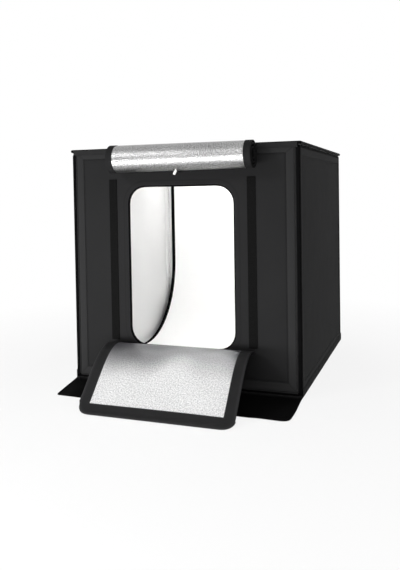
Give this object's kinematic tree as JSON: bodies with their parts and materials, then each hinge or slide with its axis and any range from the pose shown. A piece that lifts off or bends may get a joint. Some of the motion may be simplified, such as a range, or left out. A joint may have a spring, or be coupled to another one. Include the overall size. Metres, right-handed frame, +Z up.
{
  "type": "light tent cube",
  "caption": "Fold-flat photo light tent cube with a windowed front wall, roll-up and drop flaps, lamp bars and a sweep backdrop.",
  "frame": {"origin": "centre of the base panel's underside, on the table", "axes": "+Z up, +X to the right seen from the front, +Y towards the back wall"},
  "size_m": [0.406, 0.5875, 0.4028],
  "materials": {
    "black_cloth": "matt woven nylon",
    "binding_tape": "ribbed edge tape",
    "loop_strip": "hook-and-loop pile",
    "silver_lining": "silvered reflective cloth",
    "silver_foil": "pebbled silver foil on cloth",
    "grey_board": "stiff board",
    "white_sheet": "matt white sheet",
    "bar_aluminium": "drawn aluminium",
    "circuit_board": "white circuit board with lamp chips",
    "diffuser_white": "frosted diffuser",
    "black_plastic": "moulded plastic",
    "soft_rubber": "soft rubber",
    "toggle_white": "white moulded peg"
  },
  "bodies": {
    "base": {"base_lining": "silver_lining", "base_board": "grey_board", "base_cover": "black_cloth", "base_binding": "binding_tape", "backdrop_floor": "white_sheet"},
    "lip": {"front_lip": "black_cloth"},
    "left_wall": {"left_wall_lining": "silver_lining", "left_wall_board": "grey_board", "left_wall_cover": "black_cloth", "left_wall_binding": "binding_tape"},
    "right_wall": {"right_wall_lining": "silver_lining", "right_wall_board": "grey_board", "right_wall_cover": "black_cloth", "right_wall_binding": "binding_tape"},
    "back_wall": {"back_wall_lining": "silver_lining", "back_wall_board": "grey_board", "back_wall_cover": "black_cloth", "back_wall_binding": "binding_tape", "back_wall_left_tab": "loop_strip", "back_wall_right_tab": "loop_strip", "cable_grommet": "soft_rubber", "backdrop_wall": "white_sheet", "backdrop_strip": "loop_strip"},
    "top_panel": {"top_panel_lining": "silver_lining", "top_panel_board": "grey_board", "top_panel_cover": "black_cloth", "top_panel_binding": "binding_tape", "port_rim": "binding_tape", "front_light_channel": "bar_aluminium", "front_light_board": "circuit_board", "front_light_diffuser": "diffuser_white", "front_light_pad": "loop_strip", "front_light_end_cap": "black_plastic", "front_light_inlet_cap": "black_plastic", "rear_light_channel": "bar_aluminium", "rear_light_board": "circuit_board", "rear_light_diffuser": "diffuser_white", "rear_light_pad": "loop_strip", "rear_light_end_cap": "black_plastic", "rear_light_inlet_cap": "black_plastic"},
    "port_flap": {"port_flap_cloth": "black_cloth", "port_flap_tab": "loop_strip"},
    "front_wall": {"front_wall_lining": "silver_lining", "front_wall_board": "grey_board", "front_wall_cover": "black_cloth", "front_wall_binding": "binding_tape", "window_binding": "binding_tape", "left_window_strip": "loop_strip", "right_window_strip": "loop_strip", "front_wall_left_tab": "loop_strip", "front_wall_right_tab": "loop_strip"},
    "upper_flap": {"upper_flap_foil": "silver_foil", "upper_flap_binding": "binding_tape", "roll_toggle": "toggle_white"},
    "lower_flap": {"lower_flap_foil": "silver_foil", "lower_flap_binding": "binding_tape"},
    "lower_flap_end": {"lower_flap_end_foil": "silver_foil", "lower_flap_end_binding": "binding_tape"}
  },
  "joints": [
    {"name": "lip_fold", "type": "hinge", "parent": "base", "child": "lip", "pos_m": [0, -0.207, 0.0012], "axis": [-1, 0, 0], "range_deg": [0, 20]},
    {"name": "left_wall_fold", "type": "hinge", "parent": "base", "child": "left_wall", "pos_m": [-0.2, 0, 0], "axis": [0, -1, 0], "range_deg": [0, 90]},
    {"name": "right_wall_fold", "type": "hinge", "parent": "base", "child": "right_wall", "pos_m": [0.2, 0, 0], "axis": [0, 1, 0], "range_deg": [0, 90]},
    {"name": "back_wall_fold", "type": "hinge", "parent": "base", "child": "back_wall", "pos_m": [0, 0.21, 0], "axis": [-1, 0, 0], "range_deg": [0, 90]},
    {"name": "top_panel_fold", "type": "hinge", "parent": "back_wall", "child": "top_panel", "pos_m": [0, 0.21, 0.4], "axis": [-1, 0, 0], "range_deg": [0, 75]},
    {"name": "port_flap_lift", "type": "hinge", "parent": "top_panel", "child": "port_flap", "pos_m": [0, 0.07, 0.4014], "axis": [-1, 0, 0], "range_deg": [0, 170]},
    {"name": "front_wall_lift", "type": "hinge", "parent": "top_panel", "child": "front_wall", "pos_m": [0, -0.2136, 0.4], "axis": [-1, 0, 0], "range_deg": [0, 90]},
    {"name": "upper_flap_lift", "type": "hinge", "parent": "front_wall", "child": "upper_flap", "pos_m": [0, -0.2136, 0.4], "axis": [-1, 0, 0], "range_deg": [0, 80]},
    {"name": "lower_flap_lift", "type": "hinge", "parent": "front_wall", "child": "lower_flap", "pos_m": [0, -0.2118, 0.066], "axis": [-1, 0, 0], "range_deg": [0, 56]},
    {"name": "lower_flap_bend", "type": "hinge", "parent": "lower_flap", "child": "lower_flap_end", "pos_m": [0, -0.29559, 0.05458], "axis": [-1, 0, 0], "range_deg": [0, 42]}
  ],
  "couplings": [
    {"joint": "lower_flap_bend", "follows": "lower_flap_lift", "ratio": 0.75}
  ]
}
